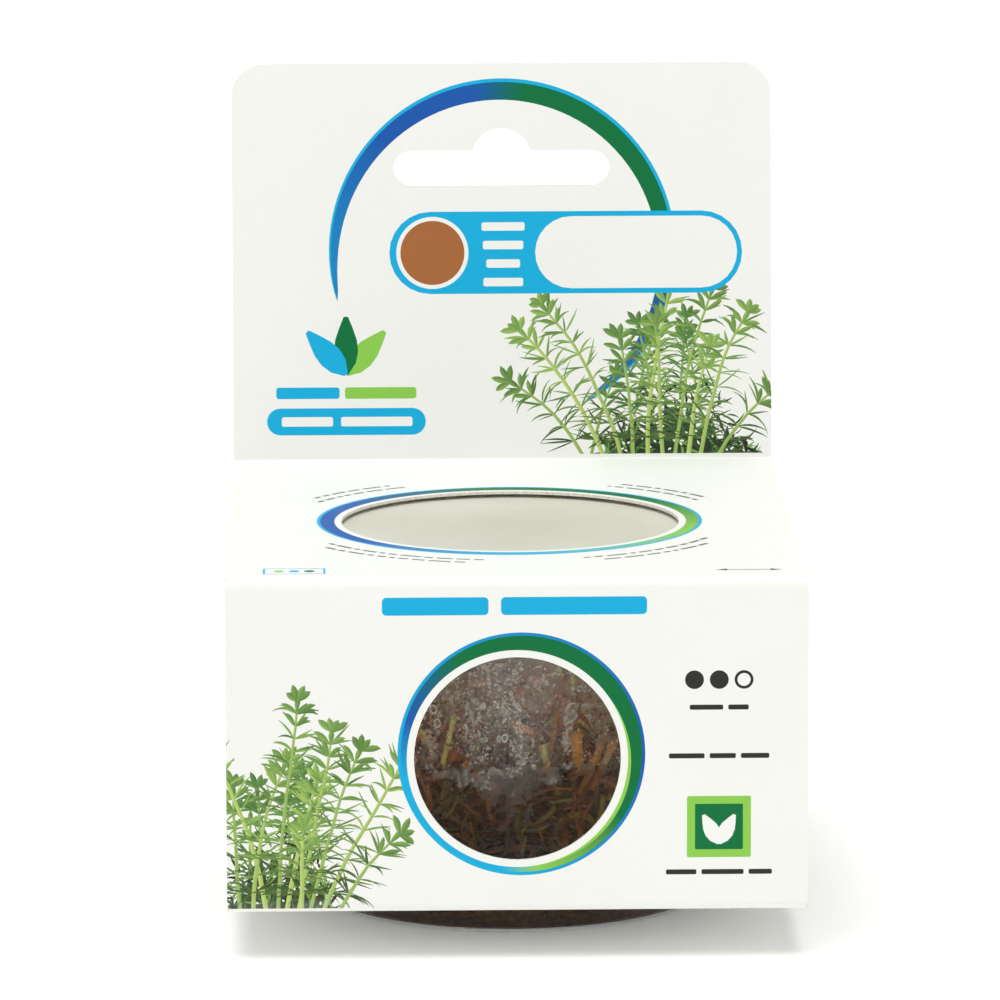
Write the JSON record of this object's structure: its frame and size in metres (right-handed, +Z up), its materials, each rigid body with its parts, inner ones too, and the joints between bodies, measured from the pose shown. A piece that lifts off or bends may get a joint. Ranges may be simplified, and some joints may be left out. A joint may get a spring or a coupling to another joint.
{
  "type": "rotala plantlets in a lidded gel cup with card sleeve",
  "caption": "Rotala plantlets standing in clear gel in a tapered see-through cup with a milky snap lid, held in a folded card sleeve with a round window and a hang header.",
  "frame": {"origin": "middle of the cup's flat base, on the surface that the pack stands on", "axes": "+Z up along the cup's axis and the header, +X to the right across the front panel, -Y towards the viewer of the round window"},
  "size_m": [0.08, 0.1041, 0.112],
  "materials": {
    "coated_card": "satin coated white board, printed in flat colours, uncoated cut edges",
    "clear_plastic": "thin clear moulded plastic, glossy, condensation inside",
    "milky_plastic": "milky translucent moulded plastic, soft sheen",
    "gel": "clear amber agar gel, wet gloss",
    "rotala": "living plant, soft red-brown to olive needle leaves"
  },
  "bodies": {
    "root": {"card_sleeve": "coated_card", "cup": "clear_plastic", "lid": "milky_plastic", "agar_gel": "gel", "rotala_stem_01": "rotala", "rotala_stem_02": "rotala", "rotala_stem_03": "rotala", "rotala_stem_04": "rotala", "rotala_stem_05": "rotala", "rotala_stem_06": "rotala", "rotala_stem_07": "rotala", "rotala_stem_08": "rotala", "rotala_stem_09": "rotala", "rotala_stem_10": "rotala", "rotala_stem_11": "rotala", "rotala_stem_12": "rotala", "rotala_stem_13": "rotala", "rotala_stem_14": "rotala", "rotala_stem_15": "rotala", "rotala_stem_16": "rotala", "rotala_stem_17": "rotala", "rotala_stem_18": "rotala", "rotala_stem_19": "rotala", "rotala_stem_20": "rotala"}
  },
  "joints": []
}
